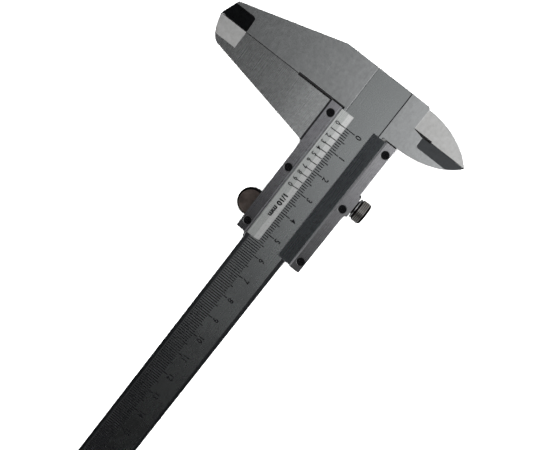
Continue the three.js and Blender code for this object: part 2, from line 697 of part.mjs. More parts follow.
function wallScrews() {
  return [{ x: LOCK_X, r: LOCK_SHANK.r }, ...gibScrewXs().map((x) => ({ x, r: GIB_SCREW_R }))];
}

function gib() {
  const x0 = BLADE_ARM_ROOT + GIB_GAP;
  const x1 = SLIDER_LENGTH - BACK_PLATE_SHORT - GIB_GAP;
  const low = BACK_PLATE_THICK + GIB_SIDE_GAP;
  const high = beamFront - GIB_SIDE_GAP;
  addPiece("gib_strip", box(x0, x1, gibInnerY, gibOuterY, low, high), brass);
  gibScrewXs().forEach((x, i) => {
    const y0 = gibOuterY + SCREW_END_GAP;
    const y1 = upperWallOuter - GIB_SCREW_SUNK;
    const wide = GIB_SCREW_R + SLACK;
    const slotLow = beamMiddle - GIB_SLOT.width / 2;
    const slotHigh = beamMiddle + GIB_SLOT.width / 2;
    const slot = box(x - wide, x + wide, y1 - GIB_SLOT.depth, y1 + SLACK, slotLow, slotHigh);
    const screw = pinAlongY(x, beamMiddle, GIB_SCREW_R, y0, y1).subtract(slot);
    addPiece(`gib_screw_${i + 1}`, screw, blackSteel);
  });
}

function lockScrew() {
  const tip = gibOuterY + SCREW_END_GAP;
  const under = bossTopY + LOCK_HEAD_GAP;
  const top = under + LOCK_HEAD_LENGTH;
  const { rounding, rise } = LOCK_CROWN;
  const profile = [
    [0, tip],
    [LOCK_SHANK.r - LOCK_SHANK.tip, tip],
    [LOCK_SHANK.r, tip + LOCK_SHANK.tip],
    [LOCK_SHANK.r, under],
    [LOCK_NECK.r, under],
    [LOCK_NECK.r, under + LOCK_NECK.end],
    [LOCK_COLLAR.r, under + LOCK_COLLAR.start],
    [LOCK_COLLAR.r, under + LOCK_COLLAR.end],
    [LOCK_GROOVE.r, under + LOCK_GROOVE.start],
    [LOCK_GROOVE.r, under + LOCK_GROOVE.end],
    [LOCK_HEAD_R, under + LOCK_KNURL_START],
    [LOCK_HEAD_R, top - rounding - rise],
    [LOCK_HEAD_R - rounding / 3, top - rise - rounding / 3],
    [LOCK_HEAD_R - rounding, top - rise],
    [0, top],
  ];
  const screw = turned(profile, HEAD_ROUND).translate(LOCK_X, 0, beamMiddle);
  addPiece("lock_screw", solidOf(screw), nickel);
}

// ------------------------------------------------------------- thumb wheel and its axle

function thumbWheel() {
  const boreR = AXLE_R + AXLE_CLEARANCE;
  const boreEnd = wheelHigh - WHEEL_WEB;
  const profile = [
    [0, boreEnd],
    [boreR, boreEnd],
    [boreR, wheelLow],
    [WHEEL_R - WHEEL_CHAMFER, wheelLow],
    [WHEEL_R, wheelLow + WHEEL_CHAMFER],
    [WHEEL_R, wheelHigh - WHEEL_CHAMFER],
    [WHEEL_R - WHEEL_CHAMFER, wheelHigh],
    [0, wheelHigh],
  ];
  const wheel = turned(profile, WHEEL_ROUND).rotateX(Math.PI / 2).translate(wheelX, wheelY, 0);
  addPiece("thumb_wheel", solidOf(wheel), nickel);
  const axleHigh = boreEnd - AXLE_CLEARANCE;
  addPiece("wheel_axle", pinAlongZ(wheelX, wheelY, AXLE_R, AXLE_SUNK, axleHigh), springSteel);
}

// --------------------------------------------------------------- depth rod and its pin

function depthRod() {
  const half = ROD_WIDTH / 2;
  const [reliefLength, reliefWidth] = ROD_TIP_RELIEF;
  const hole = pinAlongZ(ROD_PIN.x, 0, ROD_PIN.r + SCREW_CLEARANCE, rodLow - SLACK, rodHigh + SLACK);
  const blade = plate(
    outline([
      [ROD_START_X, -half],
      [beamEndX - reliefLength, -half],
      [beamEndX, -half + reliefWidth],
      [beamEndX, half],
      [ROD_START_X, half],
    ]),
    rodLow,
    rodHigh,
  );
  addPiece("depth_rod", blade.subtract(hole), springSteel);
  const headHigh = ROD_PIN.sunk + ROD_PIN.headHeight;
  const head = pinAlongZ(ROD_PIN.x, 0, ROD_PIN.headR, ROD_PIN.sunk, headHigh);
  const shank = pinAlongZ(ROD_PIN.x, 0, ROD_PIN.r, ROD_PIN.sunk, rodHigh);
  addPiece("depth_rod_screw", head.add(shank), blackSteel);
}

// -------------------------------------------------------------------------- the caliper

beamWithFixedJaws();
stopPlate();
sliderBody();
leaves();
coverStrips();
stripScrews();
gib();
lockScrew();
thumbWheel();
depthRod();

// The origin goes to the middle of the bottom of the whole caliper.
const size = new THREE.Box3().setFromObject(caliper);
const middle = size.getCenter(new THREE.Vector3());
caliper.position.set(-middle.x, -middle.y, -size.min.z);

const group = new THREE.Group();
group.add(caliper);

export default group;
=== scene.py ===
# %% [markdown]
# # Vernier caliper
# A 200 mm caliper in ground steel lies on its back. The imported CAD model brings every
# piece at its true size and place. This lesson gives the pieces their finish: edges
# that are broken as a toolmaker breaks them, ruled scales, knurls, screws and metals.

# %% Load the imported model
import math

import bmesh
import bpy
from mathutils import Matrix, Vector


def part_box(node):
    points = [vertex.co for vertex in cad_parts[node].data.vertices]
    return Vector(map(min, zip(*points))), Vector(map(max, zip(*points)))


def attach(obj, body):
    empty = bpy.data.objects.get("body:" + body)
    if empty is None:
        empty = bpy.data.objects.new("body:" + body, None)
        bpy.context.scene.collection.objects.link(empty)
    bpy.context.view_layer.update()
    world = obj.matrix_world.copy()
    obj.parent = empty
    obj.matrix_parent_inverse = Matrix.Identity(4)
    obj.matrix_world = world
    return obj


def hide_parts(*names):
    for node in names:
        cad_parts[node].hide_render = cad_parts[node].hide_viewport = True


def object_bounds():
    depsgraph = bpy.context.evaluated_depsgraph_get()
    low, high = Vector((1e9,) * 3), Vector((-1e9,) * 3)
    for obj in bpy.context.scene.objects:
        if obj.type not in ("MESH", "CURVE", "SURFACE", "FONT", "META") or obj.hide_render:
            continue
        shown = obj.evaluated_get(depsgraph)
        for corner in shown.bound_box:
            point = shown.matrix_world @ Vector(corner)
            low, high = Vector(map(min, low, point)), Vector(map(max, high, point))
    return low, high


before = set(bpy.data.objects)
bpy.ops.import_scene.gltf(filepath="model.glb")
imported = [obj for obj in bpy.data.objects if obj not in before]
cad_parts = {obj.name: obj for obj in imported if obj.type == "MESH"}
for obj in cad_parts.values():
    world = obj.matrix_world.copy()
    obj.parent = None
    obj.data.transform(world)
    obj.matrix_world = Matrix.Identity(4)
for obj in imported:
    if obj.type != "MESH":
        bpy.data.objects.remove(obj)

cad_box = [list(corner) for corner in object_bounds()]
print("CAD box", cad_box)

# %% [markdown]
# ## One set of measures
# A maker's drawing of a caliper starts where the jaws meet and on the middle line of
# the beam. The same start is used here, in millimetres. It is found from the packed
# boxes: the cover strips begin where the jaws meet, and the depth rod lies on the
# beam's middle line.

# %% Start of the drawing
MM = 0.001
JAW_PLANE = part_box("lower_front_strip")[0].x
BEAM_LINE = sum(corner.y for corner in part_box("depth_rod")) / 2


def at(x, y, z):
    """A point of the drawing, in metres."""
    return Vector((JAW_PLANE + x * MM, BEAM_LINE + y * MM, z * MM))


def drawn_box(node):
    """The lowest and highest corner of a CAD node in the drawing's millimetres."""
    start = Vector((JAW_PLANE, BEAM_LINE, 0))
    return [(corner - start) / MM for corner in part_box(node)]


for name in sorted(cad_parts):
    low, high = drawn_box(name)
    print(name, [round(value, 2) for value in (*low, *high)])

# %% [markdown]
# ## Writing node trees as calls
# Finishes and patterns are node trees. A tree is easier to read as sums in a line of
# Python than as a list of links, so one class wraps a tree and one wraps a socket.
# An operator on a socket adds a Math node; every other node comes from one method.

# %% Sockets that take part in sums


class Socket:
    """An output of a node, which ordinary arithmetic works on."""

    def __init__(self, tree, output):
        self.tree = tree
        self.output = output

    def math(self, operation, first, second=None):
        inputs = {0: first} if second is None else {0: first, 1: second}
        return self.tree.node("ShaderNodeMath", inputs, operation=operation).value()

    def __add__(self, other):
        return self.math("ADD", self, other)

    def __sub__(self, other):
        return self.math("SUBTRACT", self, other)

    def __rsub__(self, other):
        return self.math("SUBTRACT", other, self)

    def __mul__(self, other):
        return self.math("MULTIPLY", self, other)

    def __truediv__(self, other):
        return self.math("DIVIDE", self, other)

    def __mod__(self, other):
        return self.math("FLOORED_MODULO", self, other)

    __radd__ = __add__
    __rmul__ = __mul__


class Made:
    """A node that was just made; its outputs are picked by name or number."""

    def __init__(self, tree, node):
        self.tree = tree
        self.node = node

    def value(self, output=0):
        return Socket(self.tree, self.node.outputs[output])


class Tree:
    """A node tree of a material, of the world or of a geometry modifier."""

    def __init__(self, tree):
        self.tree = tree

    def node(self, kind, inputs=None, stops=None, **settings):
        node = self.tree.nodes.new(kind)
        for key, setting in settings.items():
            setattr(node, key, setting)
        if stops:
            ramp = node.color_ramp
            ramp.interpolation = "LINEAR"
            while len(ramp.elements) < len(stops):
                ramp.elements.new(1)
            for element, (place, level) in zip(ramp.elements, stops):
                element.position = place
                element.color = (*level, 1) if isinstance(level, tuple) else (level,) * 3 + (1,)
        for key, given in (inputs or {}).items():
            if isinstance(given, Socket):
                self.tree.links.new(given.output, node.inputs[key])
            else:
                node.inputs[key].default_value = given
        return Made(self, node)


# %% [markdown]
# ## Metals
# The caliper is made of a few steels. All are metallic surfaces, and what tells them
# apart is how they were worked. Grinding leaves fine scratches in the direction that
# the wheel ran, here along the beam. A noise pattern stretched along X gives them: it
# varies the colour a little, the roughness more, and raises a very small bump. A slow
# cloudy pattern stands for handling marks and old oil. A finish can also change in
# brightness from one end of a piece to the other; on the scale's floor, the channel's
# lower wall and the locking screw this fade is painted shade. An image wrapped round
# each piece could show all this too, but a pattern that is worked out from the place
# in the piece needs no wrapping and stays sharp close up.

# %% A finish made from scratches and clouds
COARSE_SHARE = 0.6
SPOT_SCALE = 700.0
DARKEST, LIGHTEST = 0.72, 1.28
CLOUD_GLOSS = 0.08
SPOT_GLOSS = 0.05
SCRATCH_HEIGHT = 0.00002


def colour_of(red, green, blue):
    return (red, green, blue, 1)


def metal(name, colour, roughness, grain=(40, 2600, 2600), depth=0.25, cloud=0.12,
          cloud_scale=55.0, metallic=1.0, shine=0.5, fine=2.3, streak=0.5, mottle=0.3, spread=0.16,
          fade=None):
    """A worked metal. grain is the scratch pattern's fineness along X, Y and Z.

    streak, cloud and mottle are how much the scratches, the clouds and the small spots
    change the colour; spread is how much the scratches change the roughness.
    fade is an axis and a list of places on it, in the drawing's millimetres, each with
    the share of the colour that is left there.
    """
    material = bpy.data.materials.new(name)
    material.use_nodes = True
    tree = Tree(material.node_tree)
    material.node_tree.nodes.clear()
    place = tree.node("ShaderNodeTexCoord").value("Object")
    stretched = tree.node("ShaderNodeMapping", {"Vector": place, "Scale": grain}).value()
    scratch = tree.node(
        "ShaderNodeTexNoise", {"Vector": stretched, "Scale": 1.0, "Detail": 3.0}
    ).value("Fac")
    finer = tree.node(
        "ShaderNodeTexNoise", {"Vector": stretched, "Scale": fine, "Detail": 2.0}
    ).value("Fac")
    clouds = tree.node(
        "ShaderNodeTexNoise", {"Vector": place, "Scale": cloud_scale, "Detail": 4.0}
    ).value("Fac")
    spots = tree.node(
        "ShaderNodeTexNoise", {"Vector": place, "Scale": SPOT_SCALE, "Detail": 2.0}
    ).value("Fac")
    grained = scratch * COARSE_SHARE + finer * (1 - COARSE_SHARE)
    shade = (
        (grained - 0.5) * streak
        + (clouds - 0.5) * (2 * cloud)
        + (spots - 0.5) * (2 * mottle)
        + 0.5
    )
    dark = tuple(channel * DARKEST for channel in colour)
    light = tuple(min(channel * LIGHTEST, 1) for channel in colour)
    tint = tree.node(
        "ShaderNodeMix",
        {0: shade, 6: colour_of(*dark), 7: colour_of(*light)},
        data_type="RGBA",
    ).value(2)
    if fade:
        axis, stops = fade
        first, last = stops[0][0], stops[-1][0]
        start = at(first, first, 0)["XY".index(axis)]
        position = tree.node("ShaderNodeSeparateXYZ", {"Vector": place}).value(axis)
        share = (position - start) / ((last - first) * MM)
        levels = [((spot - first) / (last - first), level) for spot, level in stops]
        left = tree.node("ShaderNodeValToRGB", {"Fac": share}, stops=levels).value("Color")
        tint = tree.node(
            "ShaderNodeMix", {0: 1.0, 6: tint, 7: left}, data_type="RGBA", blend_type="MULTIPLY"
        ).value(2)
    rough = grained * spread + clouds * CLOUD_GLOSS + spots * SPOT_GLOSS + (
        roughness - 0.5 * (spread + CLOUD_GLOSS + SPOT_GLOSS)
    )
    bump = tree.node(
        "ShaderNodeBump", {"Strength": depth, "Distance": SCRATCH_HEIGHT, "Height": grained}
    ).value()
    shader = tree.node(
        "ShaderNodeBsdfPrincipled",
        {"Base Color": tint, "Roughness": rough, "Normal": bump, "Metallic": metallic,
         "Specular IOR Level": shine},
    ).value()
    tree.node("ShaderNodeOutputMaterial", {"Surface": shader})
    return material


# %% [markdown]
# ## The finishes
# The beam and slider are ground steel. On the slider the tip bevels and the blade are
# painted bright, a painted highlight, and on the beam the tip and blade bevels are
# painted near black, a painted dark reflection. The rails are a darker steel. The slits,
# the blade's underside, the channel's upper wall and a band of the jaw under the lower
# strip are painted near black, a painted shade, and the channel's lower wall is painted
# bright, a painted highlight; each of those has a finish of its own. The cover strips
# are a darker steel with a touch of purple from heat treatment.
# The vernier plate is satin chrome, so that the fine lines read well. The screws are
# blackened, the thumb wheel and the locking screw are plated with warm nickel, the rod
# is spring steel and the gib is brass. One function with a few settings makes them
# all, because they differ only in tone, gloss and the size of their marks.

# %% Mix the finishes
ground = metal("ground_steel", (0.55, 0.565, 0.57), 0.23, streak=0.3, mottle=0.3)
# The scale's floor darkens towards the tail: painted shade, where the room lights the tail less.
FLOOR_PAINTED_SHADE = ("X", [(-16, 0.84), (5, 0.95), (15, 0.98), (28, 1.0), (45, 1.0), (57, 0.97),
                    (66, 0.87), (100, 0.83), (120, 0.64), (150, 0.56)])
floor_steel = metal("scale_floor_steel", (0.497, 0.52, 0.525), 0.27, streak=0.15, mottle=0.08,
                    spread=0.05, depth=0.1, fade=FLOOR_PAINTED_SHADE)
jaw_steel = metal("ground_jaw_steel", (0.67, 0.685, 0.69), 0.27, streak=0.3, mottle=0.4,
                  fade=("Y", [(-60, 0.66), (-42, 0.66), (-30, 0.72), (-20, 0.98), (-14, 1.0)]))
# The rails are a darker steel than the scale's floor.
rail = metal("oiled_rail_steel", (0.09, 0.094, 0.1), 0.3)
edge = metal("broken_edge_steel", (0.66, 0.67, 0.68), 0.24, depth=0.1)
# The slider's tip bevels and blade are painted bright, a painted highlight; the beam's tip and
# blade bevels near black, a painted dark reflection.
blade_steel = metal("lapped_blade_steel", (0.88, 0.885, 0.86), 0.36, streak=0.25, mottle=0.4)
dark_reflection = metal("dark_lapped_steel", (0.085, 0.09, 0.095), 0.3)
bright_chrome = metal("bright_chrome", (0.95, 0.96, 0.95), 0.3, mottle=0.1)
# The channel's lower wall is painted bright, a painted highlight that fades towards the tail.
channel_highlight = metal("bright_channel_steel", (0.95, 0.96, 0.97), 0.3,
                     fade=("X", [(0, 1.0), (8, 0.6), (60, 0.25), (150, 0.06)]))
# Near black for the slit walls, the blade's underside, the channel's upper wall and a band under
# the lower strip: painted shade.
painted_shade = metal("oily_recess", (0.006, 0.006, 0.0065), 0.6, metallic=0.0, shine=0.0)
STRIP_FADE = ("X", [(0, 1.0), (10, 0.95), (20, 0.84), (40, 0.55), (60, 0.33)])
cover = metal("cover_steel", (0.46, 0.455, 0.485), 0.28, cloud=0.35, cloud_scale=220.0,
              fade=STRIP_FADE)
light_cover = metal("light_cover_steel", (0.57, 0.565, 0.59), 0.28, cloud=0.35,
                    cloud_scale=220.0, fade=STRIP_FADE)
dark_leaf = metal("blackened_leaf_steel", (0.5, 0.54, 0.58), 0.28, streak=0.2, mottle=0.15)
chrome = metal("satin_chrome", (0.65, 0.67, 0.66), 0.28, cloud=0.08, mottle=0.15,
               fade=("X", [(0, 0.9), (35, 0.86), (60, 1.0)]))
# The vernier plate's bevel is painted brighter than its flat face: a painted highlight.
bevel_chrome = metal("satin_bevel_chrome", (0.84, 0.86, 0.845), 0.28, cloud=0.08, mottle=0.15,
                     fade=("X", [(0, 1.0), (30, 0.84), (60, 0.9)]))
black_oxide = metal("black_oxide", (0.02, 0.02, 0.022), 0.38, (900, 900, 900), cloud=0.2)
# The locking screw's nickel is painted darker towards the beam's tail: painted shade on that side.
nickel = metal("warm_nickel", (0.93, 0.87, 0.8), 0.4, (900, 900, 900), cloud=0.2,
               fade=("X", [(22, 1.0), (27, 0.96), (29, 0.7), (32, 0.42)]))
chamfer_steel = metal("bright_chamfer_steel", (0.5, 0.5, 0.52), 0.28)
wheel_metal = metal("worn_dark_nickel", (0.19, 0.155, 0.14), 0.38, (60, 1800, 1800), cloud=1.2,
                    cloud_scale=260.0, mottle=0.6)
# Near-black nickel for the wheel's rim and teeth and the locking screw's neck, collar and knurl
# core: painted shade.
dark_nickel = metal("dark_rim_nickel", (0.014, 0.012, 0.011), 0.4, (900, 900, 900))
spring = metal("spring_steel", (0.42, 0.425, 0.44), 0.32)
brass = metal("brass", (0.62, 0.45, 0.19), 0.38)
print(len(bpy.data.materials), "materials")

# %% [markdown]
# Engraved lines are filled with black enamel. It isn't a metal and it is dull. The same
# function makes it, with its metallic share at zero.

# %% Black enamel for engraved lines
enamel = metal("engraving_enamel", (0.0025, 0.0025, 0.003), 0.6, (900, 900, 900), metallic=0.0,
               shine=0.1)

# %% [markdown]
# ## Machined pieces with broken edges
# A real machined edge is never perfectly sharp: it is broken with a stone, so it has a
# thin bright line. A copy of the CAD mesh is merged into one closed skin, flat faces
# become single faces, and a Bevel modifier rounds each edge that turns sharply. Its
# narrow faces take a brighter steel of their own. The edges could be rounded one by
# one, but the modifier treats all alike and follows any change of the shape.

# %% A finished copy of a CAD node
SHARP = math.radians(28)
FLAT = math.radians(0.4)
SAME_PLACE = 1e-6


def welded(mesh):
    """Merges loose triangles into one skin of flat faces."""
    skin = bmesh.new()
    skin.from_mesh(mesh)
    bmesh.ops.remove_doubles(skin, verts=skin.verts, dist=SAME_PLACE)
    bmesh.ops.dissolve_limit(skin, angle_limit=FLAT, verts=skin.verts, edges=skin.edges)
    skin.to_mesh(mesh)
    skin.free()
    mesh.update()
    return mesh


def keep_as_mesh(piece):
    """Applies a piece's modifiers to its mesh and removes them."""
    graph = bpy.context.evaluated_depsgraph_get()
    mesh = bpy.data.meshes.new_from_object(piece.evaluated_get(graph))
    piece.modifiers.clear()
    piece.data = mesh
    mesh.name = piece.name
    return mesh


def new_piece(name, mesh):
    piece = bpy.data.objects.new(name, mesh)
    bpy.context.scene.collection.objects.link(piece)
    return piece


def bevelled(piece, width, segments=2):
    """Rounds the sharp edges of a piece by a width in millimetres."""
    bevel = piece.modifiers.new("broken edges", "BEVEL")
    bevel.width = width * MM
    bevel.segments = segments
    bevel.limit_method = "ANGLE"
    bevel.angle_limit = SHARP
    bevel.use_clamp_overlap = False
    bevel.material = 1
    bevel.harden_normals = False
    keep_as_mesh(piece)


def report(piece):
    skin = bmesh.new()
    skin.from_mesh(piece.data)
    open_edges = sum(not e.is_manifold for e in skin.edges)
    print(piece.name, len(skin.faces), "faces,", open_edges, "open edges,",
          round(skin.calc_volume() / MM**3, 1), "mm3")
    skin.free()


def finished_copy(node, name, width, metals):
    """A piece that stands for a CAD node, with its edges broken."""
    mesh = welded(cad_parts[node].data.copy())
    mesh.materials.clear()
    for metal_used in metals:
        mesh.materials.append(metal_used)
    piece = new_piece(name, mesh)
    for face in mesh.polygons:
        face.material_index = 0
        face.use_smooth = False
    bevelled(piece, width)
    report(piece)
    return piece


# %% [markdown]
# ## Beam and slider
# These are the two large pieces. Faces at the measuring tips and blades take other
# metals than the ground sides: on the beam a near-black steel, a painted dark
# reflection, and on the slider a bright steel, a painted highlight. Where a face lies
# decides it.

# %% Finish the beam and the slider
EDGE_WIDTH = 0.1
beam = finished_copy("beam_with_fixed_jaws", "ground_beam", EDGE_WIDTH,
                     [ground, edge, dark_reflection, blade_steel, painted_shade, rail, floor_steel,
                      channel_highlight])
slider = finished_copy("slider_body_with_jaws", "ground_slider", EDGE_WIDTH,
                       [jaw_steel, edge, dark_reflection, blade_steel, painted_shade])
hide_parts("beam_with_fixed_jaws")
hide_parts("slider_body_with_jaws")
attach(beam, "beam")
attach(slider, "slider")

# %% [markdown]
# A finish can change in the middle of a flat face: the head keeps its ground finish
# while the beam's rails are darker, and a band of the slider's jaw under the lower strip
# is painted near black, a painted shadow of the strip. A pattern could draw that border,
# but a cut is crisper: a plane splits the face in two without opening the skin, and
# each half can then take its own metal.

# %% Cut flat faces where the finish changes
UPWARD = 0.9
HEAD_END = 0.45
STRIP_SHADOW_LINE = (-14.85, 19.0)


def drawn(point):
    """A point of a piece in the drawing's millimetres."""
    return (point - at(0, 0, 0)) / MM


def split_flat(piece, place, across, chosen):
    """Cuts a piece's chosen upward faces along a plane; the skin stays closed."""
    skin = bmesh.new()
    skin.from_mesh(piece.data)
    faces = [
        face for face in skin.faces
        if face.normal.z > UPWARD and chosen(drawn(face.calc_center_median()))
    ]
    edges = {line for face in faces for line in face.edges}
    verts = {vert for face in faces for vert in face.verts}
    bmesh.ops.bisect_plane(
        skin, geom=[*verts, *edges, *faces], plane_co=place, plane_no=across, dist=1e-7
    )
    skin.to_mesh(piece.data)
    skin.free()


CHANNEL_DEPTH = 0.25
beam_top = drawn_box("beam_with_fixed_jaws")[1].z
split_flat(beam, at(HEAD_END, 0, 0), (1, 0, 0),
           lambda middle: middle.z > beam_top - CHANNEL_DEPTH / 5)
# The band of the jaw under the lower strip is cut out for its painted shadow.
split_flat(slider, at(0, STRIP_SHADOW_LINE[0], 0), (0, 1, 0), lambda middle: middle.y < 0)
split_flat(slider, at(STRIP_SHADOW_LINE[1], 0, 0), (1, 0, 0), lambda middle: middle.y > STRIP_SHADOW_LINE[0])
for piece in (beam, slider):
    report(piece)

# %% [markdown]
# Faces could be painted by hand, but that would have to be done again after each
# change of the shape. Here a short rule looks at where the middle of a face lies and
# which way it points, and gives the number of its metal in the piece's list.

# %% Choose the metal of each face
GROUND, EDGE, DARK_REFLECTION, BLADE_HIGHLIGHT, PAINTED_SHADE, RAIL, FLOOR, SIDE_HIGHLIGHT = range(8)
TIP_BEVEL_TOP = -54.6
BLADE_BEVEL_LOW = 20.8
BLADE_ROOT = 16.4
BLADE_LINE = -9.5
BEAM_HALF = 9.22
CHANNEL_SIDES = (-7.7, 8.0)
SIDE_WIDTH = 0.3
SLIT_REACH = 0.75
TILTED = (0.2, 0.98)


def paint_faces(piece, chooser):
    """Gives each face the metal that chooser names for its middle and its normal."""
    count = 0
    for face in piece.data.polygons:
        chosen = chooser(drawn(face.center), face.normal, face.material_index)
        if chosen is not None:
            face.material_index = chosen
            count += 1
    print(piece.name, count, "faces painted")


def tilted(normal):
    """Whether a face is neither level nor upright."""
    return TILTED[0] < abs(normal.z) < TILTED[1]


def in_narrow_slot(middle, normal):
    """Walls of the slits between the jaws, between the blades and beside the head; they take
    painted shade.
    """
    if middle.z < 0.3 or abs(normal.z) > TILTED[1]:
        return False
    beside_jaw_line = abs(middle.x) < SLIT_REACH and abs(middle.y) > BEAM_HALF
    beside_blade_line = abs(middle.x - BLADE_LINE) < SLIT_REACH and middle.y > BLADE_ROOT - 0.2
    return (beside_jaw_line or beside_blade_line) and abs(normal.x) > 0.3


# On the beam the slit walls, the blade's underside and the channel's upper wall take painted
# shade, the channel's lower wall a painted highlight, and the tip and blade bevels a painted dark
# reflection.
def fixed_faces(middle, normal, index):
    """The metal of a face of the beam, or None where it keeps the one it has."""
    if in_narrow_slot(middle, normal):
        return PAINTED_SHADE
    if index == EDGE:
        on_rail = middle.x > HEAD_END and abs(middle.y) < BEAM_HALF + EDGE_WIDTH
        return RAIL if on_rail else None
    if middle.y < TIP_BEVEL_TOP and tilted(normal):
        return DARK_REFLECTION
    if middle.y > BLADE_BEVEL_LOW and tilted(normal):
        return DARK_REFLECTION
    if middle.y > BLADE_ROOT and normal.z < -UPWARD:
        return PAINTED_SHADE
    if tilted(normal) and abs(middle.y - CHANNEL_SIDES[1]) < SIDE_WIDTH and normal.y < 0:
        return PAINTED_SHADE
    if tilted(normal) and abs(middle.y - CHANNEL_SIDES[0]) < SIDE_WIDTH and normal.y > 0:
        return SIDE_HIGHLIGHT
    depth = (beam_top - middle.z) / CHANNEL_DEPTH
    if abs(middle.y) < BEAM_HALF and 0.8 < depth < 2:
        return FLOOR
    beside = middle.y < CHANNEL_SIDES[0] or middle.y > CHANNEL_SIDES[1]
    if middle.x > HEAD_END and beside and abs(middle.y) < BEAM_HALF and normal.z > UPWARD:
        return RAIL
    return None


# On the slider the slit walls and a band of the jaw under the lower strip take painted shade, and
# the tip bevels and the blade a painted highlight.
def sliding_faces(middle, normal, index):
    """The metal of a face of the slider, or None where it keeps the one it has."""
    if in_narrow_slot(middle, normal):
        return PAINTED_SHADE
    if index == EDGE:
        return None
    if middle.y < TIP_BEVEL_TOP and tilted(normal):
        return BLADE_HIGHLIGHT
    if middle.y > BLADE_BEVEL_LOW - 2:
        return BLADE_HIGHLIGHT
    if STRIP_SHADOW_LINE[0] < middle.y < 0 and middle.x < STRIP_SHADOW_LINE[1] and normal.z > UPWARD:
        return PAINTED_SHADE
    return None


paint_faces(beam, fixed_faces)
paint_faces(slider, sliding_faces)

# %% [markdown]
# ## Plates and cover strips
# Two thin plates slope down to the scale, so that the vernier's lines come right
# against the beam's lines. Two strips are screwed on top of them. All four are finished
# in one loop, like the beam. Where the list has a third metal, the sloping faces take
# it: on the vernier plate a chrome painted brighter than the flat face, a painted
# highlight, and on the upper strip a steel of its own.

# %% Finish the plates and strips
for node, name, width, metals, slot in (
    ("vernier_plate", "chromed_vernier_plate", 0.16, [chrome, bright_chrome, bevel_chrome],
     "satin_chrome"),
    ("upper_bevel_plate", "dark_bevel_plate", 0.06, [dark_leaf, edge], "cover_steel"),
    ("lower_front_strip", "lower_cover_strip", 0.06, [cover, edge], "cover_steel"),
    ("upper_front_strip", "upper_cover_strip", 0.06, [light_cover, edge, chamfer_steel],
     "cover_steel"),
):
    piece = finished_copy(node, name, width, metals)
    # Sloping faces take the third metal; on the vernier plate it is a painted highlight.
    if len(metals) > 2:
        for face in piece.data.polygons:
            if face.material_index == 0 and abs(face.normal.y) > 0.2 and tilted(face.normal):
                face.material_index = 2
    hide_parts(node)
    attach(piece, "slider")

# %% [markdown]
# ## Ruled lines
# The lines of a scale repeat, so Geometry Nodes rule them. One tree serves the beam
# and the vernier: it sets a row of points, puts one line on each and makes every
# fifth and every tenth line longer. The line itself is a thin closed strip that
# follows the surface and stands a hundredth of a millimetre proud, as enamel does.
# Lines placed by hand would be slow to make and never as even.

# %% A line that follows the surface
PROUD = 0.012
SUNK = 0.05


def line_mesh(name, path, width):
    """A closed strip of a width along a path of [y, z] points in millimetres."""
    mesh = bpy.data.meshes.new(name)
    skin = bmesh.new()
    rings = []
    for y, z in path:
        corners = [(-width / 2, z - SUNK), (width / 2, z - SUNK),
                   (width / 2, z + PROUD), (-width / 2, z + PROUD)]
        rings.append([skin.verts.new((x * MM, y * MM, h * MM)) for x, h in corners])
    for first, second in zip(rings, rings[1:]):
        for i in range(4):
            j = (i + 1) % 4
            skin.faces.new((first[i], first[j], second[j], second[i]))
    skin.faces.new(rings[0][::-1])
    skin.faces.new(rings[-1])
    bmesh.ops.recalc_face_normals(skin, faces=skin.faces)
    skin.to_mesh(mesh)
    skin.free()
    return mesh


# %% The tree that rules a scale


def scale_tree():
    group = bpy.data.node_groups.new("ruled scale", "GeometryNodeTree")
    face = group.interface
    face.new_socket("Geometry", in_out="OUTPUT", socket_type="NodeSocketGeometry")
    for label, kind in (
        ("Line", "NodeSocketObject"),
        ("Lines", "NodeSocketInt"),
        ("Pitch", "NodeSocketFloat"),
        ("Start", "NodeSocketVector"),
        ("Short", "NodeSocketFloat"),
        ("Middle", "NodeSocketFloat"),
        ("Long", "NodeSocketFloat"),
        ("Enamel", "NodeSocketMaterial"),
    ):
        face.new_socket(label, in_out="INPUT", socket_type=kind)
    tree = Tree(group)
    given = tree.node("NodeGroupInput")
    step = tree.node("ShaderNodeCombineXYZ", {"X": given.value("Pitch")}).value()
    points = tree.node(
        "GeometryNodeMeshLine",
        {"Count": given.value("Lines"), "Start Location": given.value("Start"), "Offset": step},
    ).value()
    number = tree.node("GeometryNodeInputIndex").value()
    tenth = number.math("COMPARE", number % 10, 0)
    fifth = number.math("COMPARE", number % 5, 0)
    for compared in (tenth, fifth):
        compared.output.node.inputs[2].default_value = 0.5
    length = (
        given.value("Short")
        + fifth * (given.value("Middle") - given.value("Short"))
        + tenth * (given.value("Long") - given.value("Middle"))
    )
    size = tree.node("ShaderNodeCombineXYZ", {"X": 1.0, "Y": length, "Z": 1.0}).value()
    line = tree.node("GeometryNodeObjectInfo", {"Object": given.value("Line")}).value("Geometry")
    placed = tree.node(
        "GeometryNodeInstanceOnPoints", {"Points": points, "Instance": line, "Scale": size}
    ).value()
    real = tree.node("GeometryNodeRealizeInstances", {"Geometry": placed}).value()
    named = tree.node(
        "GeometryNodeSetMaterial", {"Geometry": real, "Material": given.value("Enamel")}
    ).value()
    tree.node("NodeGroupOutput", {"Geometry": named})
    return group


def run_tree(name, group, values):
    """A piece made by a geometry tree, as a plain mesh."""
    piece = new_piece(name, bpy.data.meshes.new(name))
    modifier = piece.modifiers.new(group.name, "NODES")
    modifier.node_group = group
    for socket in group.interface.items_tree:
        if socket.in_out == "INPUT" and socket.name in values:
            modifier[socket.identifier] = values[socket.name]
    bpy.context.view_layer.update()
    keep_as_mesh(piece)
    return piece


ruled = scale_tree()

# %% [markdown]
# ## The beam's scale
# The beam carries 200 divisions of one millimetre. The lines begin at the lower side
# of the shallow channel; each fifth one is longer and each tenth one is the longest.

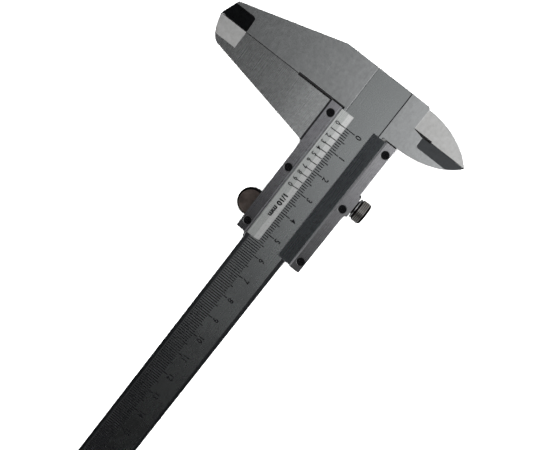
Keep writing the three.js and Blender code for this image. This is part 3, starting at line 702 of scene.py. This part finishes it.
# %% Rule the beam
SCALE_ZERO = 5.39
LINE_START = -7.42
LINE_WIDTH = 0.37
SCALE_LENGTHS = (6.05, 6.95, 8.0)
scale_floor = beam_top - CHANNEL_DEPTH
unit_line = new_piece("unit_line", line_mesh("unit_line", [(0, 0), (1, 0)], LINE_WIDTH))
beam_scale = run_tree("beam_scale_lines", ruled, {
    "Line": unit_line,
    "Lines": 201,
    "Pitch": 1 * MM,
    "Start": at(SCALE_ZERO, LINE_START, scale_floor),
    "Short": SCALE_LENGTHS[0],
    "Middle": SCALE_LENGTHS[1],
    "Long": SCALE_LENGTHS[2],
    "Enamel": enamel,
})
report(beam_scale)
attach(beam_scale, "beam")

# %% [markdown]
# ## The vernier's scale
# Eleven lines divide 29 mm into ten parts of 2.9 mm, so each part falls a tenth of a
# millimetre short of three divisions of the beam. The plate has a steep bevel beside
# the beam and a flatter part behind it, so a line bends where the two meet.

# %% Rule the vernier
plate_low, plate_high = drawn_box("vernier_plate")
strip_high = drawn_box("lower_front_strip")[1]
BEVEL_WIDTH = 2.3
FLAT_FALL = 0.3
EDGE_THICK = 0.25
VERNIER_PITCH = 2.9
VERNIER_LINE_END = -6.5
VERNIER_LINE_WIDTH = 0.33
LINE_INSET = 0.12
SEAM = 0.05
vernier_edge = plate_high.y
crease = vernier_edge - BEVEL_WIDTH
wall_edge = strip_high.y + SEAM


def vernier_height(y):
    """Height of the vernier plate's face at y, in millimetres."""
    crease_height = plate_high.z - FLAT_FALL
    if y < crease:
        share = (crease - y) / (crease - wall_edge)
        return crease_height + share * FLAT_FALL
    share = (y - crease) / (vernier_edge - crease)
    return crease_height + share * (plate_low.z + EDGE_THICK - crease_height)


inset_end = vernier_edge - LINE_INSET
bent = [(y, vernier_height(y)) for y in (VERNIER_LINE_END, crease, inset_end)]
vernier_line = new_piece("vernier_line", line_mesh("vernier_line", bent, VERNIER_LINE_WIDTH))
vernier_scale = run_tree("vernier_scale_lines", ruled, {
    "Line": vernier_line,
    "Lines": 11,
    "Pitch": VERNIER_PITCH * MM,
    "Start": at(SCALE_ZERO, 0, 0),
    "Short": 1.0,
    "Middle": 1.0,
    "Long": 1.0,
    "Enamel": enamel,
})
report(vernier_scale)
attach(vernier_scale, "slider")
for pattern in (unit_line, vernier_line):
    bpy.data.objects.remove(pattern)

# %% [markdown]
# ## Numbers
# The numbers are stamped and filled like the lines. Text is made a flat mesh, cut
# where the surface bends, laid on the surface and given a little thickness, so that
# each figure is a closed solid. Figures drawn by a material would blur close up, and a
# text object couldn't follow the bend.

# %% Figures on a surface
CAPITAL_SHARE = 0.72


def figure(text, x, y, height, surface, cuts=(), weight=0.0, across=1.0, length=None):
    """Text as loose thin solids: middle at x and y, height of a capital, on a surface.

    Its letters are made wider or narrower by across, or to fit a length.
    """
    curve = bpy.data.curves.new("figure", "FONT")
    curve.body = text
    curve.size = height / CAPITAL_SHARE
    curve.align_x = "CENTER"
    curve.offset = weight
    curve.resolution_u = 3
    holder = new_piece("figure", curve)
    bpy.context.view_layer.update()
    graph = bpy.context.evaluated_depsgraph_get()
    mesh = bpy.data.meshes.new_from_object(holder.evaluated_get(graph))
    bpy.data.objects.remove(holder)
    skin = bmesh.new()
    skin.from_mesh(mesh)
    bmesh.ops.remove_doubles(skin, verts=skin.verts, dist=1e-4)
    if length:
        sides = [vert.co.x for vert in skin.verts]
        across = length / (max(sides) - min(sides))
    for vert in skin.verts:
        vert.co = Vector((vert.co.x * across + x, vert.co.y - height / 2 + y, 0))
    for cut in cuts:
        bmesh.ops.bisect_plane(
            skin, geom=[*skin.verts, *skin.edges, *skin.faces],
            plane_co=(0, cut, 0), plane_no=(0, 1, 0),
        )
    for vert in skin.verts:
        vert.co.z = surface(vert.co.y) + PROUD
    up = [face for face in skin.faces if face.normal.z < 0]
    bmesh.ops.reverse_faces(skin, faces=up)
    walls = bmesh.ops.extrude_face_region(skin, geom=list(skin.faces), use_keep_orig=True)
    lowered = [item for item in walls["geom"] if isinstance(item, bmesh.types.BMVert)]
    for vert in lowered:
        vert.co.z -= PROUD + SUNK
    bmesh.ops.recalc_face_normals(skin, faces=skin.faces)
    for vert in skin.verts:
        vert.co = at(*vert.co)
    skin.to_mesh(mesh)
    skin.free()
    return mesh


def joined(name, meshes, *metals):
    """One piece from several meshes whose faces share a list of metals."""
    skin = bmesh.new()
    for mesh in meshes:
        skin.from_mesh(mesh)
    whole = bpy.data.meshes.new(name)
    skin.to_mesh(whole)
    skin.free()
    for metal_used in metals:
        whole.materials.append(metal_used)
    return new_piece(name, whole)


# %% Number the scales
BEAM_FIGURE = 2.5
BEAM_FIGURE_Y = 2.35
VERNIER_FIGURE = 1.9
VERNIER_FIGURE_Y = -7.25
LABEL = "1/10 mm"
LABEL_HEIGHT = 2.0
LABEL_LENGTH = 10.2
LABEL_PLACE = (43.6, -6.0)
FIGURE_WEIGHT = 0.06
LABEL_WEIGHT = 0.14
beam_figures = joined(
    "beam_numbers",
    [figure(str(cm), SCALE_ZERO + 10 * cm, BEAM_FIGURE_Y, BEAM_FIGURE, lambda y: scale_floor,
            weight=FIGURE_WEIGHT, across=0.85)
     for cm in range(21)],
    enamel,
)
vernier_figures = joined(
    "vernier_numbers",
    [figure(str(tenth % 10), SCALE_ZERO + VERNIER_PITCH * tenth, VERNIER_FIGURE_Y,
            VERNIER_FIGURE, vernier_height, weight=FIGURE_WEIGHT, across=0.9)
     for tenth in range(11)]
    + [figure(LABEL, *LABEL_PLACE, LABEL_HEIGHT, vernier_height, cuts=(crease,),
              weight=LABEL_WEIGHT, length=LABEL_LENGTH)],
    enamel,
)
for piece, body in ((beam_figures, "beam"), (vernier_figures, "slider")):
    report(piece)
    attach(piece, body)

# %% [markdown]
# ## Strip screws
# Six equal screws hold the strips. One is finished from its CAD node and brought to
# the drawing's start; Geometry Nodes put it at the six places, each turned a little
# differently, as screws stop where they are tight.

# %% The tree that sets screws at points


def screw_tree():
    group = bpy.data.node_groups.new("screws at points", "GeometryNodeTree")
    face = group.interface
    face.new_socket("Geometry", in_out="OUTPUT", socket_type="NodeSocketGeometry")
    for label, kind in (
        ("Screw", "NodeSocketObject"),
        ("Places", "NodeSocketObject"),
        ("Seed", "NodeSocketInt"),
        ("Metal", "NodeSocketMaterial"),
    ):
        face.new_socket(label, in_out="INPUT", socket_type=kind)
    tree = Tree(group)
    given = tree.node("NodeGroupInput")
    places = tree.node("GeometryNodeObjectInfo", {"Object": given.value("Places")})
    screw = tree.node("GeometryNodeObjectInfo", {"Object": given.value("Screw")})
    turn = tree.node(
        "FunctionNodeRandomValue",
        {2: 0.0, 3: 2 * math.pi, "Seed": given.value("Seed")},
        data_type="FLOAT",
    ).value(1)
    angle = tree.node("ShaderNodeCombineXYZ", {"Z": turn}).value()
    set_out = tree.node(
        "GeometryNodeInstanceOnPoints",
        {
            "Points": places.value("Geometry"),
            "Instance": screw.value("Geometry"),
            "Rotation": angle,
        },
    ).value()
    real = tree.node("GeometryNodeRealizeInstances", {"Geometry": set_out}).value()
    named = tree.node(
        "GeometryNodeSetMaterial", {"Geometry": real, "Material": given.value("Metal")}
    ).value()
    tree.node("NodeGroupOutput", {"Geometry": named})
    return group


# %% Set the strip screws
SCREW_NODES = [f"{side}_strip_screw_{i}" for side in ("lower", "upper") for i in (1, 2, 3)]
SCREW_EDGE = 0.08


def middle_of(node):
    low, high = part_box(node)
    return (low + high) / 2


screw_mesh = welded(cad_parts[SCREW_NODES[0]].data.copy())
screw_mesh.transform(Matrix.Translation(-middle_of(SCREW_NODES[0])))
one_screw = new_piece("one_screw", screw_mesh)
bevelled(one_screw, SCREW_EDGE)
places = bpy.data.meshes.new("screw_places")
places.from_pydata([middle_of(node) for node in SCREW_NODES], [], [])
screw_places = new_piece("screw_places", places)
strip_screws = run_tree("strip_screws", screw_tree(), {
    "Screw": one_screw,
    "Places": screw_places,
    "Seed": 4,
    "Metal": black_oxide,
})
for pattern in (one_screw, screw_places):
    bpy.data.objects.remove(pattern)
report(strip_screws)
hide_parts(*SCREW_NODES)
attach(strip_screws, "slider")

# %% [markdown]
# ## Turned pieces
# The thumb wheel and the locking screw come off a lathe. Their bodies are turned from
# a profile; the knurls that give the fingers grip are small ridges or blunt studs, many
# times over, so Geometry Nodes set them round the rim. A bump in the material could
# stand for a knurl, but its outline against the light would stay smooth.

# %% Turn a profile


def turned(name, profile, centre, axis, sides=96):
    """A closed solid from [radius, height] points turned round an axis through centre."""
    skin = bmesh.new()
    turn = Vector((0, 0, 1)).rotation_difference(Vector(axis)).to_matrix()
    rings = []
    for radius, height in profile:
        if radius == 0:
            rings.append([skin.verts.new(turn @ Vector((0, 0, height)))])
            continue
        rings.append([
            skin.verts.new(turn @ Vector((
                radius * math.cos(2 * math.pi * i / sides),
                radius * math.sin(2 * math.pi * i / sides),
                height,
            )))
            for i in range(sides)
        ])
    for first, second in zip(rings, rings[1:]):
        for i in range(sides):
            j = (i + 1) % sides
            corners = [first[i % len(first)], first[j % len(first)],
                       second[j % len(second)], second[i % len(second)]]
            skin.faces.new(dict.fromkeys(corners))
    bmesh.ops.recalc_face_normals(skin, faces=skin.faces)
    for vert in skin.verts:
        vert.co = at(*(vert.co + Vector(centre)))
    mesh = bpy.data.meshes.new(name)
    skin.to_mesh(mesh)
    skin.free()
    return mesh


# %% The tree that knurls a rim


def knurl_tree():
    """Teeth in rows round the Z axis."""
    group = bpy.data.node_groups.new("knurled rim", "GeometryNodeTree")
    face = group.interface
    face.new_socket("Geometry", in_out="OUTPUT", socket_type="NodeSocketGeometry")
    for label, kind in (
        ("Tooth", "NodeSocketObject"),
        ("Teeth", "NodeSocketInt"),
        ("Rows", "NodeSocketInt"),
        ("Radius", "NodeSocketFloat"),
        ("Row Pitch", "NodeSocketFloat"),
        ("Metal", "NodeSocketMaterial"),
    ):
        face.new_socket(label, in_out="INPUT", socket_type=kind)
    tree = Tree(group)
    given = tree.node("NodeGroupInput")
    teeth, rows = given.value("Teeth"), given.value("Rows")
    points = tree.node("GeometryNodeMeshLine", {"Count": teeth * rows}).value()
    number = tree.node("GeometryNodeInputIndex").value()
    row = number.math("FLOOR", number / teeth)
    turn = (number % teeth) / teeth * (2 * math.pi)
    radius = given.value("Radius")
    spot = tree.node("ShaderNodeCombineXYZ", {
        "X": radius * turn.math("COSINE", turn),
        "Y": radius * turn.math("SINE", turn),
        "Z": (row - (rows - 1) * 0.5) * given.value("Row Pitch"),
    }).value()
    ringed = tree.node("GeometryNodeSetPosition", {"Geometry": points, "Position": spot}).value()
    angle = tree.node("ShaderNodeCombineXYZ", {"Z": turn}).value()
    tooth = tree.node("GeometryNodeObjectInfo", {"Object": given.value("Tooth")}).value("Geometry")
    placed = tree.node(
        "GeometryNodeInstanceOnPoints", {"Points": ringed, "Instance": tooth, "Rotation": angle}
    ).value()
    real = tree.node("GeometryNodeRealizeInstances", {"Geometry": placed}).value()
    named = tree.node(
        "GeometryNodeSetMaterial", {"Geometry": real, "Material": given.value("Metal")}
    ).value()
    tree.node("NodeGroupOutput", {"Geometry": named})
    return group


def tooth_mesh(name, base, points):
    """A closed tooth: a base rectangle at x = 0 sunk a little, and a ridge or a point."""
    half_width, half_length, sunk = base
    corners = [(-sunk, -half_width, -half_length), (-sunk, half_width, -half_length),
               (-sunk, half_width, half_length), (-sunk, -half_width, half_length)]
    mesh = bpy.data.meshes.new(name)
    skin = bmesh.new()
    for corner in [*corners, *points]:
        skin.verts.new(Vector(corner) * MM)
    bmesh.ops.convex_hull(skin, input=skin.verts)
    bmesh.ops.recalc_face_normals(skin, faces=skin.faces)
    skin.to_mesh(mesh)
    skin.free()
    return mesh


knurl = knurl_tree()

# %% [markdown]
# ## Thumb wheel
# The wheel's rim has a straight knurl. Its face is plain, turned, and dished a little
# round the middle. The rim, its teeth and the edge of the face are painted near black,
# a painted shade. It spins with its own body.

# %% Turn the wheel's body
wheel_low, wheel_high = drawn_box("thumb_wheel")
wheel_middle = (wheel_low + wheel_high) / 2
wheel_radius = (wheel_high.x - wheel_low.x) / 2
half_wheel = (wheel_high.z - wheel_low.z) / 2
WHEEL_TOOTH = 0.22
WHEEL_CHAMFER = 0.5
DARK_RIM = 0.7
core = wheel_radius - WHEEL_TOOTH
wheel_profile = [
    (0, -half_wheel),
    (core - 0.55, -half_wheel),
    (core, WHEEL_CHAMFER - half_wheel),
    (core, half_wheel - WHEEL_CHAMFER),
    (core - 0.12, half_wheel - 0.2),
    (core - 0.55, half_wheel),
    (core - 0.95, half_wheel),
    (core - 1.1, half_wheel - 0.12),
    (0, half_wheel - 0.12),
]
wheel_body = turned("wheel_body", wheel_profile, wheel_middle, (0, 0, 1))
# Faces near the rim take the nickel painted near black, a painted shade.
for face in wheel_body.polygons:
    from_axis = (drawn(face.center) - wheel_middle).xy.length
    face.material_index = int(from_axis > core - DARK_RIM)
print("wheel body", len(wheel_body.polygons), "faces, radius", round(core, 2))

# %% Knurl the wheel's rim
WHEEL_TEETH = 60
RIDGE_WIDTH = 0.48
RIDGE_CREST = 0.1
RIDGE_SLOPE = 0.12
ridge_half = half_wheel - WHEEL_CHAMFER
crest_half = ridge_half - RIDGE_SLOPE
ridge = new_piece("ridge", tooth_mesh(
    "ridge", (RIDGE_WIDTH / 2, ridge_half, RIDGE_SLOPE),
    [(WHEEL_TOOTH - 0.01, y, z)
     for y in (-RIDGE_CREST / 2, RIDGE_CREST / 2) for z in (-crest_half, crest_half)],
))
wheel_teeth = run_tree("wheel_teeth", knurl, {
    "Tooth": ridge, "Teeth": WHEEL_TEETH, "Rows": 1, "Radius": core * MM, "Row Pitch": 0.0,
    "Metal": wheel_metal,
})
wheel_teeth.data.transform(Matrix.Translation(at(*wheel_middle)))
bpy.data.objects.remove(ridge)
# The teeth take the nickel painted near black, a painted shade.
for face in wheel_teeth.data.polygons:
    face.material_index = 1
wheel = joined("knurled_thumb_wheel", [wheel_body, wheel_teeth.data], wheel_metal, dark_nickel)
bpy.data.objects.remove(wheel_teeth)
report(wheel)
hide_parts("thumb_wheel")
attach(wheel, "thumb_wheel")

# %% [markdown]
# ## Locking screw
# The screw comes out of a boss on the slider's upper side. Above its collar and
# groove the head has a square knurl: rows of small blunt studs on a core painted near
# black, a painted shade. The neck and collar are painted shade as well, their ring is
# kept bright, a painted highlight, and the nickel is painted darker towards the beam's
# tail. The end is crowned.

# %% Turn the locking screw's body
lock_low, lock_high = drawn_box("lock_screw")
lock_x = (lock_low.x + lock_high.x) / 2
lock_z = (lock_low.z + lock_high.z) / 2
HEAD_LENGTH = 5.3
LOCK_TOOTH = 0.2
LOCK_RING = (0.52, 0.75)
CROWN = 0.3
KNURL_START = 1.45
under = lock_high.y - HEAD_LENGTH
core = (lock_high.x - lock_low.x) / 2 - LOCK_TOOTH
top = lock_high.y
lock_profile = [
    (0, lock_low.y),
    (1.0, lock_low.y),
    (1.4, lock_low.y + 0.4),
    (1.4, under),
    (2.9, under),
    (2.9, under + 0.25),
    (4.0, under + 0.42),
    (4.1, under + 0.52),
    (4.1, under + 0.75),
    (4.02, under + 0.97),
    (3.75, under + 1.02),
    (3.75, under + 1.22),
    (core - 0.05, under + 1.36),
    (core, under + KNURL_START),
    (core, top - 0.95),
    (core - 0.12, top - 0.6),
    (core - 0.5, top - 0.26),
    (core - 1.0, top - 0.12),
    (2.0, top - 0.03),
    (0, top),
]
lock_body = turned("lock_body", lock_profile, (lock_x, 0, lock_z), (0, 1, 0))
# The ring takes bright steel, a painted highlight; the body below the crown takes painted shade.
for face in lock_body.polygons:
    height = drawn(face.center).y
    in_ring = LOCK_RING[0] < height - under < LOCK_RING[1]
    face.material_index = 2 if in_ring else int(height < top - CROWN)
print("lock body", len(lock_body.polygons), "faces, radius", round(core, 2))

# %% Knurl the locking screw's head
LOCK_TEETH = 38
LOCK_ROWS = 4
ROW_PITCH = 0.72
STUD_BASE = 0.5
STUD_TOP = 0.38
STUD_SUNK = 0.1
KNURL_END = 0.9
top_sides = (-STUD_TOP / 2, STUD_TOP / 2)
stud = new_piece("stud", tooth_mesh(
    "stud", (STUD_BASE / 2, STUD_BASE / 2, STUD_SUNK),
    [(LOCK_TOOTH - 0.02, y, z) for y in top_sides for z in top_sides],
))
lock_teeth = run_tree("lock_teeth", knurl, {
    "Tooth": stud, "Teeth": LOCK_TEETH, "Rows": LOCK_ROWS, "Radius": core * MM,
    "Row Pitch": ROW_PITCH * MM, "Metal": nickel,
})
for face in lock_teeth.data.polygons:
    face.material_index = 0
knurl_middle = (under + KNURL_START + top - KNURL_END) / 2
lock_teeth.data.transform(
    Matrix.Translation(at(lock_x, knurl_middle, lock_z)) @ Matrix.Rotation(-math.pi / 2, 4, "X")
)
bpy.data.objects.remove(stud)
lock = joined("knurled_lock_screw", [lock_body, lock_teeth.data], nickel, dark_nickel, edge)
bpy.data.objects.remove(lock_teeth)
report(lock)
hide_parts("lock_screw")
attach(lock, "lock_screw")

# %% [markdown]
# ## Small parts kept from the CAD model
# The gib and its screws, the depth rod and its screw, the axle and the stop plate
# have the right shape as they are. Only their metal changes.

# %% Give the kept nodes their metals
for node, metal_used in (
    ("gib_strip", brass),
    ("gib_screw_1", black_oxide),
    ("gib_screw_2", black_oxide),
    ("depth_rod", spring),
    ("depth_rod_screw", black_oxide),
    ("wheel_axle", spring),
    ("stop_plate", spring),
    ("stop_screw_1", black_oxide),
    ("stop_screw_2", black_oxide),
):
    for material_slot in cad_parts[node].material_slots:
        material_slot.material = metal_used
    print(node, "takes", metal_used.name)

# %% [markdown]
# ## Studio
# Flat metal shows what it reflects, so the light is a large soft room: grey above,
# brighter towards the blades and the head's end, dark past the tail and behind the
# jaws. Overhead, the world's colour is a product of two smooth ramps on the direction.
# The walls near the table's height are an even grey, so the steel reads well from the
# side too. Lamps and screens could make the same reflections, but two ramps are easier
# to set and leave no noise. The floor is a plain white table.

# %% A soft room to reflect
ROOM_LEVEL = 2.15
world = bpy.data.worlds.new("studio")
bpy.context.scene.world = world
world.use_nodes = True
room = Tree(world.node_tree)
world.node_tree.nodes.clear()
direction = room.node("ShaderNodeTexCoord").value("Generated")
parts = room.node("ShaderNodeSeparateXYZ", {"Vector": direction})


def along(axis, stops):
    """A smooth level that depends on one part of the direction, from -1 to 1."""
    shifted = parts.value(axis) * 0.5 + 0.5
    places = [((place + 1) / 2, level) for place, level in stops]
    return room.node("ShaderNodeValToRGB", {"Fac": shifted}, stops=places).value("Color")


by_length = along("X", [
    (-1.0, 0.8), (-0.75, 0.3), (-0.62, 0.2), (-0.4, 0.9), (-0.15, 0.6), (0.0, 0.5),
    (0.1, 0.46), (0.17, 0.28), (0.24, 0.1), (0.32, 0.02), (0.5, 0.004), (1.0, 0.01),
])
by_width = along("Y", [
    (-1.0, 0.03), (-0.5, 0.045), (-0.3, 0.06), (-0.17, 0.09), (-0.11, 0.2), (-0.05, 0.4),
    (0.0, 0.25), (0.04, 0.6), (0.08, 0.9), (0.17, 1.0), (0.5, 0.95), (1.0, 0.8),
])
overhead = along("Z", [(-1.0, 0.0), (0.4, 0.0), (0.7, 1.0), (1.0, 1.0)])
low_walls = along("Z", [
    (-1.0, 0.02), (-0.6, 0.04), (-0.3, 0.35), (0.4, 0.5), (0.7, 0.0), (1.0, 0.0),
])
glow = by_length * by_width * overhead * ROOM_LEVEL + low_walls
background = room.node("ShaderNodeBackground", {"Color": glow}).value()
room.node("ShaderNodeOutputWorld", {"Surface": background})
world.cycles_visibility.diffuse = False

# %% The table
TABLE_HALF = 10.0
TABLE_GAP = 0.00005
table_mesh = bpy.data.meshes.new("table")
corners = [(-1, -1), (1, -1), (1, 1), (-1, 1)]
table_mesh.from_pydata(
    [(x * TABLE_HALF, y * TABLE_HALF, cad_box[0][2] - TABLE_GAP) for x, y in corners],
    [], [(0, 1, 2, 3)],
)
table = new_piece("table", table_mesh)
paper = bpy.data.materials.new("white_table")
paper.use_nodes = True
paper.node_tree.nodes.clear()
sheet = Tree(paper.node_tree)
soft = sheet.node("ShaderNodeBsdfDiffuse", {"Color": (0.9, 0.9, 0.9, 1)}).value()
sheet.node("ShaderNodeOutputMaterial", {"Surface": soft})
table_mesh.materials.append(paper)
table.visible_glossy = False
print("table at", round(cad_box[0][2] - TABLE_GAP, 6))

# %% [markdown]
# Two wide soft lamps stand to the left and right of the table and make it white. They
# shine at a slant, so little light falls through the narrow slots of the jaws. They
# are hidden from glossy reflections: the metal shows only the soft room.

# %% The lamps beside the table
LAMP_SIDE = 1.0
LAMP_AWAY = 1.7
LAMP_HEIGHT = 2.5
LAMP_POWER = 185.0
for name, side in (("left_lamp", -1), ("right_lamp", 1)):
    lamp_data = bpy.data.lights.new(name, "AREA")
    lamp_data.shape = "SQUARE"
    lamp_data.size = LAMP_SIDE
    lamp_data.energy = LAMP_POWER
    lamp = bpy.data.objects.new(name, lamp_data)
    bpy.context.scene.collection.objects.link(lamp)
    lamp.location = (side * LAMP_AWAY, 0, LAMP_HEIGHT)
    lamp.rotation_euler = (-lamp.location).to_track_quat("-Z", "Y").to_euler()
    lamp.visible_glossy = False
    print(name, [round(part, 2) for part in lamp.location])

# %% [markdown]
# ## Camera
# The camera looks almost straight down, from above the head of the caliper, and is
# turned so that the beam runs to the lower left.

# %% Set the camera
EYE = (-28.03, -0.09, 378.85)
AIM = (50.85, -2.31, 6.35)
UP_HEADING = math.radians(217.37)
LENS = 65.45
SENSOR_WIDTH = 36
camera = bpy.data.objects.new("camera", bpy.data.cameras.new("camera"))
bpy.context.scene.collection.objects.link(camera)
camera.location = at(*EYE)
look = (at(*AIM) - at(*EYE)).normalized()
sideways = look.cross(Vector((math.cos(UP_HEADING), math.sin(UP_HEADING), 0))).normalized()
upwards = sideways.cross(look)
camera.rotation_euler = Matrix((sideways, upwards, -look)).transposed().to_euler()
camera.data.lens = LENS
camera.data.sensor_width = SENSOR_WIDTH
bpy.context.scene.camera = camera
bpy.context.scene.view_settings.view_transform = "Standard"
print("camera at", [round(part, 3) for part in camera.location])
